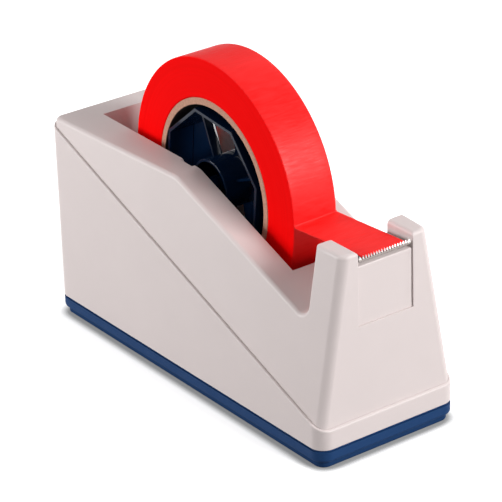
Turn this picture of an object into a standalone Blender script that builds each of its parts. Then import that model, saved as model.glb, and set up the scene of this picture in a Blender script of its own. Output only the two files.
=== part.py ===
"""Desktop tape dispenser with a weighted base, a serrated cutter and a lift-out reel.

Metres, +Z up. The origin is the middle of the footprint, on the surface it stands on.
+X points to the cutter, and the dispenser is symmetric about Y = 0.
"""

import math

import bmesh
import bpy
from mathutils import Vector

# Body
BODY_LENGTH = 0.2092
BODY_WIDTH = 0.0784
CORNER_RADIUS = 0.007
WALL = 0.0024
GAP = 0.0003

# Base
PAD_THICKNESS = 0.0031
PAD_INSET = 0.0020
TRAY_TOP = 0.0094
TRAY_EDGE_RADIUS = 0.0016
TRAY_FLOOR = 0.0022

# Housing heights, from the rear rim over the bend to the V in front of the horns
RIM_REAR = 0.1036
BEND_X = -0.0106
BEND_Z = 0.1019
VALLEY_X = 0.0853
VALLEY_Z = 0.0654
VALLEY_RADIUS = 0.0045
HORN_TOP = 0.1004
STEP_REAR_Z = 0.1010
STEP_FRONT_Z = 0.0192
STEP_INSET = 0.0015
UPPER_CORNER_RADIUS = 0.0055
HORN_OUTER_HALF = 0.0243
EDGE_RADIUS = 0.0018
ROOF_THICKNESS = 0.0027
OVERSHOOT = 0.010

# Roll pocket and the grooves that carry the axle
POCKET_REAR = -0.0900
POCKET_FRONT = 0.0582
POCKET_HALF = 0.01715
POCKET_FLOOR = 0.0285
POCKET_SIDE_WALL = 0.0032
POCKET_ROOF_END = 0.074
SHELF_START = 0.080
AXLE_X = -0.0080
AXLE_Z = 0.0929
AXLE_RADIUS = 0.0025
GROOVE_DEPTH = 0.0015
GROOVE_LENGTH = 0.030
GROOVE_RISE = math.radians(37.8)

# Cutter
HORN_GAP_HALF = 0.0153
HORN_GAP_FLOOR = 0.0643
BLOCK_REAR = 0.0848
BLOCK_FRONT = 0.1018
BLOCK_HALF = 0.0149
BLOCK_WALL = 0.0022
BLOCK_CEILING = 0.0905
LEDGE_FRONT_Z = 0.0930
LEDGE_REAR_Z = 0.0936
LEDGE_DEPTH = 0.0042
BLADE_SEAT_Z = 0.0945
BLADE_FRONT = 0.1026
BLADE_HALF = 0.0146
BLADE_THICKNESS = 0.0007
BLADE_LEG = 0.0100
TOOTH_COUNT = 19
TOOTH_HEIGHT = 0.0013
TEETH_TOP = 0.0977

# Tape and hub, whose two halves are the same moulding, one of them turned over
TAPE_HALF = 0.01215
TAPE_RADIUS = 0.0612
CORE_OUTER = 0.0417
CORE_INNER = 0.0382
HUB_VERTEX_RADIUS = 0.0370
HUB_VERTEX_ANGLE = 16.75
HUB_HALF = 0.0135
HUB_WALL = 0.0016
BOSS_RADIUS = 0.0129
BOSS_WALL = 0.0012
BOSS_HALF = 0.0139
SLEEVE_RADIUS = 0.0042
SLEEVE_HALF = 0.0105
WEB_THICKNESS = 0.0020
SPOKE_TURN = 5.75
SPOKE_THICKNESS = 0.0012
SPOKE_EDGE = 0.0003
SPOKE_IN = 0.0018
SPOKE_SHOULDER = 0.0040
SPOKE_OUT = 0.0081
SPOKE_REACH = 0.0348
SPACER_HALF = 0.0168
LEADER_THICKNESS = 0.0003
LEADER_END_Z = 0.09645

# Fasteners and ballast
SCREW_RADIUS = 0.0016
HEAD_RADIUS = 0.0031
HEAD_HEIGHT = 0.0018
HEAD_EDGE = 0.0006
HEAD_RECESS = 0.0031
UNDER_HEAD = PAD_THICKNESS + 0.0028
HOUSING_SCREW_TIP = 0.0240
BALLAST_SCREW_TIP = 0.0200
BLOCK_SCREW_TIP = 0.0765
BLOCK_HEAD_RADIUS = 0.0028
HOLE_END_GAP = 0.0005
POST_RADIUS = 0.0042
CUP_RADIUS = 0.0054
BLOCK_POST_RADIUS = 0.0036
HOUSING_SCREWS = [(x, y) for x in (-0.0975, 0.0930) for y in (-0.0265, 0.0265)]
BALLAST_SCREWS = [(x, y) for x in (-0.040, 0.040) for y in (-0.018, 0.018)]
BLOCK_SCREWS = [(0.0925, y) for y in (-0.0095, 0.0095)]
BLADE_RIVETS = [(0.0955, y) for y in (-0.009, 0.009)]
RIVET_RADIUS = 0.0011
RIVET_HEAD_RADIUS = 0.0019
RIVET_HEAD_HEIGHT = 0.0003
RIVET_BOTTOM = 0.0890
BALLAST_BOTTOM = 0.0086
BALLAST_TOP = 0.0240
BALLAST_HALF_WIDTH = 0.0320
BALLAST_LENGTH = 0.0800
BALLAST_CLEARANCE = 0.0008

BODY_HALF = BODY_LENGTH / 2
UPPER_HALF_X = BODY_HALF - STEP_INSET
UPPER_HALF_Y = BODY_WIDTH / 2 - STEP_INSET
HOUSING_BOTTOM = TRAY_TOP + GAP
TRAY_BOTTOM = PAD_THICKNESS + GAP / 2
AXLE = Vector((AXLE_X, 0, AXLE_Z))

# The flange of the housing ends in a plane that falls from the rear to the front.
STEP_POINT = Vector((-BODY_HALF, 0, STEP_REAR_Z))
STEP_ALONG = Vector((BODY_LENGTH, 0, STEP_FRONT_Z - STEP_REAR_Z)).normalized()
STEP_NORMAL = Vector((-STEP_ALONG.z, 0, STEP_ALONG.x))
HORN_MIDDLE = Vector(((VALLEY_X + UPPER_HALF_X) / 2, 0, HORN_TOP))
SIDE_LEAN = (UPPER_HALF_Y - HORN_OUTER_HALF) / (HORN_MIDDLE - STEP_POINT).dot(STEP_NORMAL)

parts = bpy.data.collections.new("tape_dispenser")
cutters = bpy.data.collections.new("cutters")


def clear_scene():
    for old in list(bpy.data.objects):
        bpy.data.objects.remove(old, do_unlink=True)
    for group in (parts, cutters):
        bpy.context.scene.collection.children.link(group)


def material(name, colour, roughness, metallic=0.0):
    made = bpy.data.materials.new(name)
    made.use_nodes = True
    shader = made.node_tree.nodes["Principled BSDF"]
    shader.inputs["Base Color"].default_value = (*colour, 1.0)
    shader.inputs["Roughness"].default_value = roughness
    shader.inputs["Metallic"].default_value = metallic
    return made


def finish(made, look, smooth_angle=None, parent=None):
    """Give a part its material and shading, and hang it on its parent."""
    made.data.materials.clear()
    made.data.materials.append(look)
    if smooth_angle:
        made.data.shade_smooth()
        made.data.set_sharp_from_angle(angle=math.radians(smooth_angle))
    if parent:
        made.parent = parent
        made.matrix_parent_inverse = parent.matrix_basis.inverted()
    return made


def as_cutter(made):
    for group in list(made.users_collection):
        group.objects.unlink(made)
    cutters.objects.link(made)
    made.hide_render = True
    made.display_type = "WIRE"
    return made


def object_from(name, bm):
    mesh = bpy.data.meshes.new(name)
    bm.to_mesh(mesh)
    bm.free()
    made = bpy.data.objects.new(name, mesh)
    parts.objects.link(made)
    return made


def boolean(target, tool, operation="DIFFERENCE"):
    step = target.modifiers.new(f"{operation.lower()}_{tool.name}", "BOOLEAN")
    step.operation = operation
    step.object = tool
    step.solver = "EXACT"


def rounded(corners, steps=5):
    """Points of a closed outline whose corners are (a, b, radius)."""
    points = []
    count = len(corners)
    for index, (a, b, radius) in enumerate(corners):
        here = Vector((a, b))
        if radius == 0:
            points.append(here)
            continue
        back = (Vector(corners[index - 1][:2]) - here).normalized()
        ahead = (Vector(corners[(index + 1) % count][:2]) - here).normalized()
        half = back.angle(ahead) / 2
        centre = here + (back + ahead).normalized() * radius / math.sin(half)
        start = here + back * radius / math.tan(half) - centre
        end = here + ahead * radius / math.tan(half) - centre
        turn = start.angle_signed(end)
        for step in range(steps + 1):
            angle = -turn * step / steps
            points.append(centre + Vector((
                start.x * math.cos(angle) - start.y * math.sin(angle),
                start.x * math.sin(angle) + start.y * math.cos(angle),
            )))
    return points


def rectangle(low_a, high_a, low_b, high_b, radius=0.0):
    return [(low_a, low_b, radius), (high_a, low_b, radius),
            (high_a, high_b, radius), (low_a, high_b, radius)]


def plate(name, outlines, thickness, place=(0, 0, 0), upright=None):
    """Solid plate from flat outlines, the first outside and the others holes.

    It lies in XY, or stands in XZ (upright="XZ") or in YZ (upright="YZ").
    """
    curve = bpy.data.curves.new(name, "CURVE")
    curve.dimensions = "2D"
    curve.fill_mode = "BOTH"
    curve.extrude = thickness / 2
    for points in outlines:
        spline = curve.splines.new("POLY")
        spline.points.add(len(points) - 1)
        for target, point in zip(spline.points, points):
            target.co = (point[0], point[1], 0, 1)
        spline.use_cyclic_u = True
    guide = bpy.data.objects.new(name + "_outline", curve)
    parts.objects.link(guide)
    guide.location = place
    if upright == "XZ":
        guide.rotation_euler = (math.pi / 2, 0, 0)
    if upright == "YZ":
        guide.rotation_euler = (math.pi / 2, 0, math.pi / 2)
    bpy.context.view_layer.update()
    evaluated = guide.evaluated_get(bpy.context.evaluated_depsgraph_get())
    mesh = bpy.data.meshes.new_from_object(evaluated)
    mesh.transform(guide.matrix_world)
    bpy.data.objects.remove(guide, do_unlink=True)
    bm = bmesh.new()
    bm.from_mesh(mesh)
    bpy.data.meshes.remove(mesh)
    bmesh.ops.remove_doubles(bm, verts=bm.verts, dist=1e-6)
    bmesh.ops.recalc_face_normals(bm, faces=bm.faces)
    return object_from(name, bm)


def slab(name, outline, low, high):
    return plate(name, [outline], high - low, (0, 0, (low + high) / 2))


def box(name, low, high):
    bm = bmesh.new()
    bmesh.ops.create_cube(bm, size=1.0)
    for vert in bm.verts:
        vert.co = Vector([(lo + hi) / 2 + c * (hi - lo) for lo, hi, c in zip(low, high, vert.co)])
    return object_from(name, bm)


def add_cylinder(bm, radius, low, high, place=(0, 0), segments=24):
    """Upright cylinder from the height low to the height high."""
    made = bmesh.ops.create_cone(
        bm, cap_ends=True, segments=segments, radius1=radius, radius2=radius, depth=high - low)
    shift = Vector((place[0], place[1], (low + high) / 2))
    bmesh.ops.translate(bm, verts=made["verts"], vec=shift)
    return made["verts"]


def cylinders(name, radius, low, high, places, segments=24):
    bm = bmesh.new()
    for place in places:
        add_cylinder(bm, radius, low, high, place, segments)
    return object_from(name, bm)


def turned(name, profile, steps=64):
    """Ring or sleeve about the axle: closed (radius, y) profile with a Screw modifier."""
    bm = bmesh.new()
    ring = [bm.verts.new((radius, y, 0)) for radius, y in profile]
    for index, vert in enumerate(ring):
        bm.edges.new((vert, ring[(index + 1) % len(ring)]))
    made = object_from(name, bm)
    made.location = AXLE
    screw = made.modifiers.new("turn", "SCREW")
    screw.axis = "Y"
    screw.steps = steps
    screw.render_steps = steps
    screw.use_merge_vertices = True
    screw.merge_threshold = 1e-5
    screw.use_normal_calculate = True
    return made


def ring_profile(inner, outer, low, high, soft=0.0003):
    """Outer side from the +Y end to the -Y end, then back along the bore."""
    return [(outer - soft, high), (outer, high - soft), (outer, low + soft), (outer - soft, low),
            (inner + soft, low), (inner, low + soft), (inner, high - soft), (inner + soft, high)]


def lean_inwards(made):
    """Lean the sides of an upright block towards Y = 0 above the step plane."""
    bm = bmesh.new()
    bm.from_mesh(made.data)
    everything = bm.verts[:] + bm.edges[:] + bm.faces[:]
    bmesh.ops.bisect_plane(bm, geom=everything, plane_co=STEP_POINT, plane_no=STEP_NORMAL)
    for vert in bm.verts:
        above = (vert.co - STEP_POINT).dot(STEP_NORMAL)
        if above > 1e-6:
            vert.co.y -= math.copysign(SIDE_LEAN * above, vert.co.y)
    bmesh.ops.triangulate(bm, faces=bm.faces)
    bm.to_mesh(made.data)
    bm.free()


def slope_z(x, drop=0.0):
    """Height of the sloping top between the bend and the V."""
    return BEND_Z + (VALLEY_Z - BEND_Z) * (x - BEND_X) / (VALLEY_X - BEND_X) - drop


def space_above_housing():
    """Everything above the top of the housing: rear rim, slope, V and horn tops."""
    far = BODY_LENGTH
    outline = [
        (-BODY_HALF, RIM_REAR, 0), (BEND_X, BEND_Z, 0.012), (VALLEY_X, VALLEY_Z, VALLEY_RADIUS),
        (VALLEY_X, HORN_TOP, 0), (far, HORN_TOP, 0), (far, far, 0), (-far, far, 0),
        (-far, RIM_REAR + (RIM_REAR - BEND_Z) * (far - BODY_HALF) / (BODY_HALF + BEND_X), 0),
    ]
    return as_cutter(plate("space_above", [rounded(outline)], BODY_WIDTH * 2, upright="XZ"))


def cavity():
    """Hollow inside the housing, around the pocket and the screw posts."""
    half_x = UPPER_HALF_X - WALL
    half_y = UPPER_HALF_Y - WALL
    outline = rounded(rectangle(-half_x, half_x, -half_y, half_y, UPPER_CORNER_RADIUS - WALL))
    hollow = as_cutter(slab("cavity", outline, TRAY_BOTTOM, RIM_REAR + OVERSHOOT))
    lean_inwards(hollow)
    drop = ROOF_THICKNESS
    shelf = HORN_GAP_FLOOR - drop
    far = BODY_LENGTH
    roof = [(-far, RIM_REAR - drop, 0), (BEND_X, BEND_Z - drop, 0),
            (POCKET_ROOF_END, slope_z(POCKET_ROOF_END, drop), 0), (SHELF_START, shelf, 0),
            (far, shelf, 0), (far, far, 0), (-far, far, 0)]
    roof_cut = as_cutter(plate("cavity_roof", [rounded(roof)], BODY_WIDTH * 2, upright="XZ"))
    boolean(hollow, roof_cut)
    tub = as_cutter(box(
        "pocket_walls",
        (POCKET_REAR - WALL, -POCKET_HALF - POCKET_SIDE_WALL, POCKET_FLOOR - WALL),
        (POCKET_FRONT + WALL, POCKET_HALF + POCKET_SIDE_WALL, RIM_REAR + 2 * OVERSHOOT)))
    boolean(hollow, tub)
    post_bottom = TRAY_TOP - 0.0002
    posts = as_cutter(cylinders(
        "screw_posts", POST_RADIUS, post_bottom, RIM_REAR + 2 * OVERSHOOT, HOUSING_SCREWS, 20))
    boolean(hollow, posts)
    return hollow


def round_top_edges(made):
    """Round the long edges between the top surfaces and the sides of the housing."""
    step = made.modifiers.new("edges", "BEVEL")
    step.width = EDGE_RADIUS
    step.segments = 3
    step.limit_method = "WEIGHT"
    bm = bmesh.new()
    bm.from_mesh(made.data)
    bmesh.ops.dissolve_limit(bm, angle_limit=math.radians(0.2), verts=bm.verts, edges=bm.edges)
    weight = bm.edges.layers.float.new("bevel_weight_edge")
    for edge in bm.edges:
        if len(edge.link_faces) == 2 and is_top_edge(edge):
            edge[weight] = 1.0
    bm.to_mesh(made.data)
    bm.free()


def is_top_edge(edge):
    """One face looks up or along X in the profile, the other is a side, a front or a rear."""
    middle = (edge.verts[0].co + edge.verts[1].co) / 2
    above = (middle - STEP_POINT).dot(STEP_NORMAL)
    if above < 0.001 or not edge.is_convex:
        return False
    if abs(middle.y) < HORN_GAP_HALF + 1e-5 and middle.z < HORN_TOP - 1e-5 and middle.x > 0:
        return False
    sides = [is_side(face, middle) for face in edge.link_faces]
    return sides[0] != sides[1]


def is_side(face, middle):
    normal = face.normal
    if abs(normal.y) > 0.12:
        return True
    return abs(normal.x) > 0.9 and abs(middle.x) > UPPER_HALF_X - 0.002


def housing(look):
    """Moulded housing: flange wedge, leaning upper body, horns, roll pocket and screw posts."""
    upper = slab("housing", rounded(rectangle(
        -UPPER_HALF_X, UPPER_HALF_X, -UPPER_HALF_Y, UPPER_HALF_Y, UPPER_CORNER_RADIUS)),
        HOUSING_BOTTOM + 0.003, RIM_REAR + OVERSHOOT)
    lean_inwards(upper)
    boolean(upper, space_above_housing())
    horn_gap = as_cutter(box(
        "horn_gap", (VALLEY_X - 0.0008, -HORN_GAP_HALF, HORN_GAP_FLOOR),
        (BODY_LENGTH, HORN_GAP_HALF, RIM_REAR + 5 * OVERSHOOT)))
    boolean(upper, horn_gap)
    made = baked(upper)
    round_top_edges(made)

    half_y = BODY_WIDTH / 2
    wedge = slab("flange_wedge", rounded(rectangle(
        -BODY_HALF, BODY_HALF, -half_y, half_y, CORNER_RADIUS)),
        HOUSING_BOTTOM, RIM_REAR + OVERSHOOT)
    trim_above_step(wedge)
    boolean(made, as_cutter(wedge), "UNION")
    boolean(made, cavity())
    boolean(made, as_cutter(box(
        "pocket", (POCKET_REAR, -POCKET_HALF, POCKET_FLOOR),
        (POCKET_FRONT, POCKET_HALF, RIM_REAR + 2 * OVERSHOOT))))
    boolean(made, groove())
    boolean(made, as_cutter(cylinders(
        "pilot_holes", SCREW_RADIUS + GAP, 0.001, HOUSING_SCREW_TIP + HOLE_END_GAP,
        HOUSING_SCREWS)))
    boolean(made, as_cutter(cylinders(
        "block_screw_holes", SCREW_RADIUS + GAP, HORN_GAP_FLOOR - 0.006, HORN_GAP_FLOOR + 0.002,
        BLOCK_SCREWS)))
    return finish(made, look, 30)


def baked(made):
    """Replace an object by its evaluated mesh, under the same name."""
    bpy.context.view_layer.update()
    evaluated = made.evaluated_get(bpy.context.evaluated_depsgraph_get())
    mesh = bpy.data.meshes.new_from_object(evaluated)
    mesh.transform(made.matrix_world)
    name = made.name
    bpy.data.objects.remove(made, do_unlink=True)
    fresh = bpy.data.objects.new(name, mesh)
    parts.objects.link(fresh)
    return fresh


def trim_above_step(made):
    bm = bmesh.new()
    bm.from_mesh(made.data)
    everything = bm.verts[:] + bm.edges[:] + bm.faces[:]
    bmesh.ops.bisect_plane(
        bm, geom=everything, plane_co=STEP_POINT, plane_no=STEP_NORMAL, clear_outer=True)
    bmesh.ops.holes_fill(bm, edges=[edge for edge in bm.edges if edge.is_boundary])
    bmesh.ops.recalc_face_normals(bm, faces=bm.faces)
    bm.to_mesh(made.data)
    bm.free()


def groove():
    """Slanted slot for the two ends of the axle pin, open at the rim."""
    radius = AXLE_RADIUS + GAP
    away = Vector((-math.cos(GROOVE_RISE), math.sin(GROOVE_RISE)))
    across = Vector((-away.y, away.x)) * radius
    seat = Vector((AXLE_X, AXLE_Z))
    turn = [math.pi * step / 8 for step in range(9)]
    points = [seat + across * math.cos(angle) - away * radius * math.sin(angle) for angle in turn]
    points += [seat - across + away * GROOVE_LENGTH, seat + across + away * GROOVE_LENGTH]
    return as_cutter(plate(
        "groove", [points], 2 * (POCKET_HALF + GROOVE_DEPTH), upright="XZ"))


def base_tray(look):
    """Shallow tray that closes the housing and takes the ballast and the screws."""
    half_y = BODY_WIDTH / 2
    made = slab("base_tray", rounded(rectangle(
        -BODY_HALF, BODY_HALF, -half_y, half_y, CORNER_RADIUS)), TRAY_BOTTOM, TRAY_TOP)
    bevel_bottom(made, TRAY_BOTTOM, TRAY_EDGE_RADIUS)
    inside = rounded(rectangle(-BODY_HALF + WALL, BODY_HALF - WALL,
                               -half_y + WALL, half_y - WALL, CORNER_RADIUS - WALL))
    boolean(made, as_cutter(slab("tray_inside", inside, TRAY_BOTTOM + TRAY_FLOOR, 0.020)))
    cups = as_cutter(cylinders(
        "screw_cups", CUP_RADIUS, TRAY_BOTTOM + 0.001, BALLAST_BOTTOM - GAP,
        HOUSING_SCREWS + BALLAST_SCREWS, 20))
    boolean(made, cups, "UNION")
    boolean(made, as_cutter(cylinders(
        "head_recesses", HEAD_RADIUS + GAP, 0.0, PAD_THICKNESS + HEAD_RECESS,
        HOUSING_SCREWS + BALLAST_SCREWS)))
    boolean(made, as_cutter(cylinders(
        "shank_holes", SCREW_RADIUS + GAP, 0.001, 0.020, HOUSING_SCREWS + BALLAST_SCREWS)))
    return finish(made, look, 30)


def bevel_bottom(made, level, radius):
    """Round the lower outer edge of a slab."""
    bm = bmesh.new()
    bm.from_mesh(made.data)
    bmesh.ops.dissolve_limit(bm, angle_limit=math.radians(0.2), verts=bm.verts, edges=bm.edges)
    rim = [edge for edge in bm.edges
           if all(abs(vert.co.z - level) < 1e-6 for vert in edge.verts)]
    bmesh.ops.bevel(bm, geom=rim, offset=radius, segments=3, profile=0.5,
                    affect="EDGES", clamp_overlap=True)
    bm.to_mesh(made.data)
    bm.free()


def anti_slip_pad(look):
    half_x = BODY_HALF - PAD_INSET
    half_y = BODY_WIDTH / 2 - PAD_INSET
    made = slab("anti_slip_pad", rounded(rectangle(
        -half_x, half_x, -half_y, half_y, CORNER_RADIUS - PAD_INSET)), 0.0, PAD_THICKNESS)
    bevel_bottom(made, 0.0, 0.0006)
    return finish(made, look, 30)


def ballast(name, middle, look):
    """Cast block on the tray's cups, with a tapped hole over each cup."""
    half = BALLAST_LENGTH / 2 - BALLAST_CLEARANCE
    made = slab(name, rounded(rectangle(
        middle - half, middle + half, -BALLAST_HALF_WIDTH, BALLAST_HALF_WIDTH, 0.004)),
        BALLAST_BOTTOM, BALLAST_TOP)
    places = [place for place in BALLAST_SCREWS if abs(place[0] - middle) < half]
    boolean(made, as_cutter(cylinders(
        name + "_holes", SCREW_RADIUS + GAP, 0.001, BALLAST_SCREW_TIP + HOLE_END_GAP, places)))
    return finish(made, look, 30)


def screws(name, places, under_head, tip, look, head_radius=HEAD_RADIUS):
    """Pan-head screws that go in from below, numbered from 1."""
    for number, place in enumerate(places, 1):
        bm = bmesh.new()
        head_bottom = under_head - HEAD_HEIGHT
        add_cylinder(bm, head_radius, head_bottom, under_head, place)
        rim = [edge for edge in bm.edges
               if all(abs(vert.co.z - head_bottom) < 1e-6 for vert in edge.verts)]
        bmesh.ops.bevel(bm, geom=rim, offset=HEAD_EDGE, segments=2, profile=0.5, affect="EDGES")
        draw_out(bm, under_head, head_radius, SCREW_RADIUS, tip)
        finish(object_from(f"{name}_{number}", bm), look, 40)


def draw_out(bm, level, outer, inner, end):
    """Pull a thinner shank out of the flat face at a level, to the height end."""
    face = next(face for face in bm.faces
                if abs(face.calc_center_median().z - level) < 1e-6 and abs(face.normal.z) > 0.9)
    bmesh.ops.inset_region(bm, faces=[face], thickness=outer - inner)
    pushed = bmesh.ops.extrude_discrete_faces(bm, faces=[face])["faces"][0]
    for vert in pushed.verts:
        vert.co.z = end


def cutter_block(look):
    """Insert between the horns: front panel, shaded ledge and the seat of the blade."""
    outline = [
        (BLOCK_REAR, HORN_GAP_FLOOR + GAP, 0), (BLOCK_FRONT, HORN_GAP_FLOOR + GAP, 0),
        (BLOCK_FRONT, LEDGE_FRONT_Z, 0.0005), (BLOCK_FRONT - LEDGE_DEPTH, LEDGE_REAR_Z, 0),
        (BLOCK_FRONT - LEDGE_DEPTH - 0.0004, BLADE_SEAT_Z, 0),
        (BLOCK_REAR, BLADE_SEAT_Z, 0.0012),
    ]
    made = plate("cutter_block", [rounded(outline, 4)], 2 * BLOCK_HALF, upright="XZ")
    wall = BLOCK_WALL
    under = HORN_GAP_FLOOR - 0.002
    hollow = as_cutter(box(
        "block_inside", (BLOCK_REAR + wall, -BLOCK_HALF + wall, under),
        (BLOCK_FRONT - wall, BLOCK_HALF - wall, BLOCK_CEILING)))
    posts = as_cutter(cylinders(
        "block_posts", BLOCK_POST_RADIUS, HORN_GAP_FLOOR + GAP, RIM_REAR, BLOCK_SCREWS))
    boolean(hollow, posts)
    boolean(made, hollow)
    boolean(made, as_cutter(cylinders(
        "block_pilots", SCREW_RADIUS + GAP, under, BLOCK_SCREW_TIP + 2 * HOLE_END_GAP,
        BLOCK_SCREWS)))
    boolean(made, as_cutter(cylinders(
        "rivet_holes", RIVET_RADIUS + GAP, RIVET_BOTTOM - 2 * HOLE_END_GAP, RIM_REAR,
        BLADE_RIVETS)))
    return finish(made, look, 30)


def cutter_blade(look):
    """Steel angle strip whose upturned front edge carries the teeth."""
    bottom = BLADE_SEAT_Z + GAP
    root = TEETH_TOP - TOOTH_HEIGHT
    pitch = 2 * BLADE_HALF / TOOTH_COUNT
    outline = [(-BLADE_HALF, bottom), (BLADE_HALF, bottom)]
    for tooth in range(TOOTH_COUNT):
        right = BLADE_HALF - tooth * pitch
        outline += [(right, root), (right - pitch / 2, TEETH_TOP)]
    outline.append((-BLADE_HALF, root))
    strip = plate("cutter_blade", [outline], BLADE_THICKNESS,
                  (BLADE_FRONT - BLADE_THICKNESS / 2, 0, 0), upright="YZ")
    leg = as_cutter(box(
        "blade_leg", (BLADE_FRONT - BLADE_LEG, -BLADE_HALF + 0.0002, bottom + 0.00002),
        (BLADE_FRONT - BLADE_THICKNESS / 2, BLADE_HALF - 0.0002, bottom + BLADE_THICKNESS)))
    boolean(strip, leg, "UNION")
    boolean(strip, as_cutter(cylinders(
        "blade_holes", RIVET_RADIUS + GAP, RIVET_BOTTOM, RIM_REAR, BLADE_RIVETS)))
    return finish(strip, look)


def blade_rivets(look):
    """Two low rivets that hold the blade on the block, under the tape."""
    leg_top = BLADE_SEAT_Z + GAP + BLADE_THICKNESS
    head_bottom = leg_top + 0.0001
    for number, place in enumerate(BLADE_RIVETS, 1):
        bm = bmesh.new()
        add_cylinder(bm, RIVET_HEAD_RADIUS, head_bottom, head_bottom + RIVET_HEAD_HEIGHT, place)
        draw_out(bm, head_bottom, RIVET_HEAD_RADIUS, RIVET_RADIUS, RIVET_BOTTOM)
        finish(object_from(f"blade_rivet_{number}", bm), look, 40)


def octagon(vertex_radius):
    angles = [math.radians(HUB_VERTEX_ANGLE + 45 * side) for side in range(8)]
    return [Vector((vertex_radius * math.cos(a), vertex_radius * math.sin(a))) for a in angles]


def hub_half(name, side, look, parent):
    """Half of the reel's hub: eight-sided drum wall, four spokes, boss and bearing sleeve."""
    inner = HUB_VERTEX_RADIUS - HUB_WALL / math.cos(math.radians(22.5))
    low = GAP / 2
    place = (AXLE_X, side * (low + HUB_HALF) / 2, AXLE_Z)
    made = plate(name, [octagon(HUB_VERTEX_RADIUS), octagon(inner)], HUB_HALF - low, place, "XZ")
    boolean(made, as_cutter(hub_boss(name + "_boss", side, low)), "UNION")
    for number in range(4):
        angle = HUB_VERTEX_ANGLE + 90 * number - side * SPOKE_TURN
        boolean(made, hub_spoke(f"{name}_spoke_{number + 1}", side, angle), "UNION")
    return finish(made, look, 30, parent)


def hub_spoke(name, side, angle):
    """Rib from the boss to the drum wall, tapered towards the middle plane."""
    half = SPOKE_THICKNESS / 2
    edge = SPOKE_EDGE / 2
    section = [(-half, SPOKE_OUT), (half, SPOKE_OUT), (half, SPOKE_SHOULDER),
               (edge, SPOKE_IN), (-edge, SPOKE_IN), (-half, SPOKE_SHOULDER)]
    made = slab(name, [(across, side * depth) for across, depth in section],
                BOSS_RADIUS - BOSS_WALL / 2, SPOKE_REACH)
    made.location = AXLE
    made.rotation_euler = (0, math.radians(90 - angle), 0)
    return as_cutter(made)


def hub_boss(name, side, low):
    """Boss tube with a web at the middle plane and a bearing sleeve for the axle pin."""
    bore = AXLE_RADIUS + GAP
    tube = BOSS_RADIUS - BOSS_WALL
    web = low + WEB_THICKNESS
    profile = [(BOSS_RADIUS, BOSS_HALF), (BOSS_RADIUS, low), (bore, low), (bore, SLEEVE_HALF),
               (SLEEVE_RADIUS, SLEEVE_HALF), (SLEEVE_RADIUS, web), (tube, web), (tube, BOSS_HALF)]
    if side < 0:
        profile = [(radius, -y) for radius, y in reversed(profile)]
    return baked(turned(name, profile, 32))


def axle_pin(look, parent):
    bm = bmesh.new()
    half = POCKET_HALF + GROOVE_DEPTH - 0.0005
    add_cylinder(bm, AXLE_RADIUS, -half, half)
    ends = [edge for edge in bm.edges if abs(edge.verts[0].co.z - edge.verts[1].co.z) < 1e-6]
    bmesh.ops.bevel(bm, geom=ends, offset=0.0004, segments=1, affect="EDGES")
    made = object_from("axle_pin", bm)
    made.rotation_euler = (math.pi / 2, 0, 0)
    made.location = AXLE
    bpy.context.view_layer.update()
    return finish(made, look, 40, parent)


def tape_leader(look, parent):
    """Strip of tape from the roll to the blade."""
    start = Vector((AXLE_X + TAPE_RADIUS + 0.0004, AXLE_Z + 0.0009))
    end = Vector((BLADE_FRONT - BLADE_THICKNESS - GAP, LEADER_END_Z))
    along = (end - start).normalized()
    up = Vector((-along.y, along.x)) * LEADER_THICKNESS
    made = plate("tape_leader", [[start, end, end + up, start + up]], 2 * TAPE_HALF,
                 upright="XZ")
    return finish(made, look, None, parent)


def axis_empty(name, parent=None):
    made = bpy.data.objects.new(name, None)
    parts.objects.link(made)
    made.location = AXLE
    if parent:
        made.parent = parent
        made.matrix_parent_inverse = parent.matrix_basis.inverted()
    return made


def build():
    clear_scene()
    beige = material("beige_plastic", (0.68, 0.61, 0.58), 0.42)
    navy = material("navy_plastic", (0.030, 0.065, 0.165), 0.40)
    navy_pad = material("navy_rubber", (0.028, 0.060, 0.150), 0.60)
    hub_navy = material("hub_plastic", (0.006, 0.014, 0.040), 0.22)
    iron = material("cast_iron", (0.12, 0.12, 0.125), 0.65, 0.8)
    steel = material("screw_steel", (0.60, 0.60, 0.61), 0.35, 1.0)
    blade_steel = material("blade_steel", (0.80, 0.80, 0.80), 0.25, 1.0)
    card = material("core_card", (0.45, 0.29, 0.21), 0.85)
    red = material("tape_red", (0.85, 0.004, 0.004), 0.50)

    axle = axis_empty("axle_axis")
    reel = axis_empty("reel_axis", axle)

    housing(beige)
    base_tray(navy)
    anti_slip_pad(navy_pad)
    ballast("ballast_rear", -BALLAST_LENGTH / 2, iron)
    ballast("ballast_front", BALLAST_LENGTH / 2, iron)
    screws("housing_screw", HOUSING_SCREWS, UNDER_HEAD, HOUSING_SCREW_TIP, steel)
    screws("ballast_screw", BALLAST_SCREWS, UNDER_HEAD, BALLAST_SCREW_TIP, steel)
    cutter_block(beige)
    screws("cutter_block_screw", BLOCK_SCREWS, HORN_GAP_FLOOR - ROOF_THICKNESS - GAP,
           BLOCK_SCREW_TIP, steel, BLOCK_HEAD_RADIUS)
    cutter_blade(blade_steel)
    blade_rivets(steel)

    hub_half("hub_half_left", -1, hub_navy, reel)
    hub_half("hub_half_right", 1, hub_navy, reel)
    finish(turned("tape_core", ring_profile(CORE_INNER, CORE_OUTER, -TAPE_HALF, TAPE_HALF)),
           card, 30, reel)
    finish(turned("tape_roll", ring_profile(
        CORE_OUTER + 0.0002, TAPE_RADIUS, -TAPE_HALF, TAPE_HALF), 96), red, 30, reel)

    axle_pin(steel, axle)
    near = SLEEVE_HALF + GAP
    for name, low, high in (("axle_spacer_left", -SPACER_HALF, -near),
                            ("axle_spacer_right", near, SPACER_HALF)):
        finish(turned(name, ring_profile(AXLE_RADIUS + GAP, SLEEVE_RADIUS, low, high), 24),
               navy, 30, axle)
    tape_leader(red, axle)


build()
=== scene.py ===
"""Studio picture of the desktop tape dispenser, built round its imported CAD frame."""

import math

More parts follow.
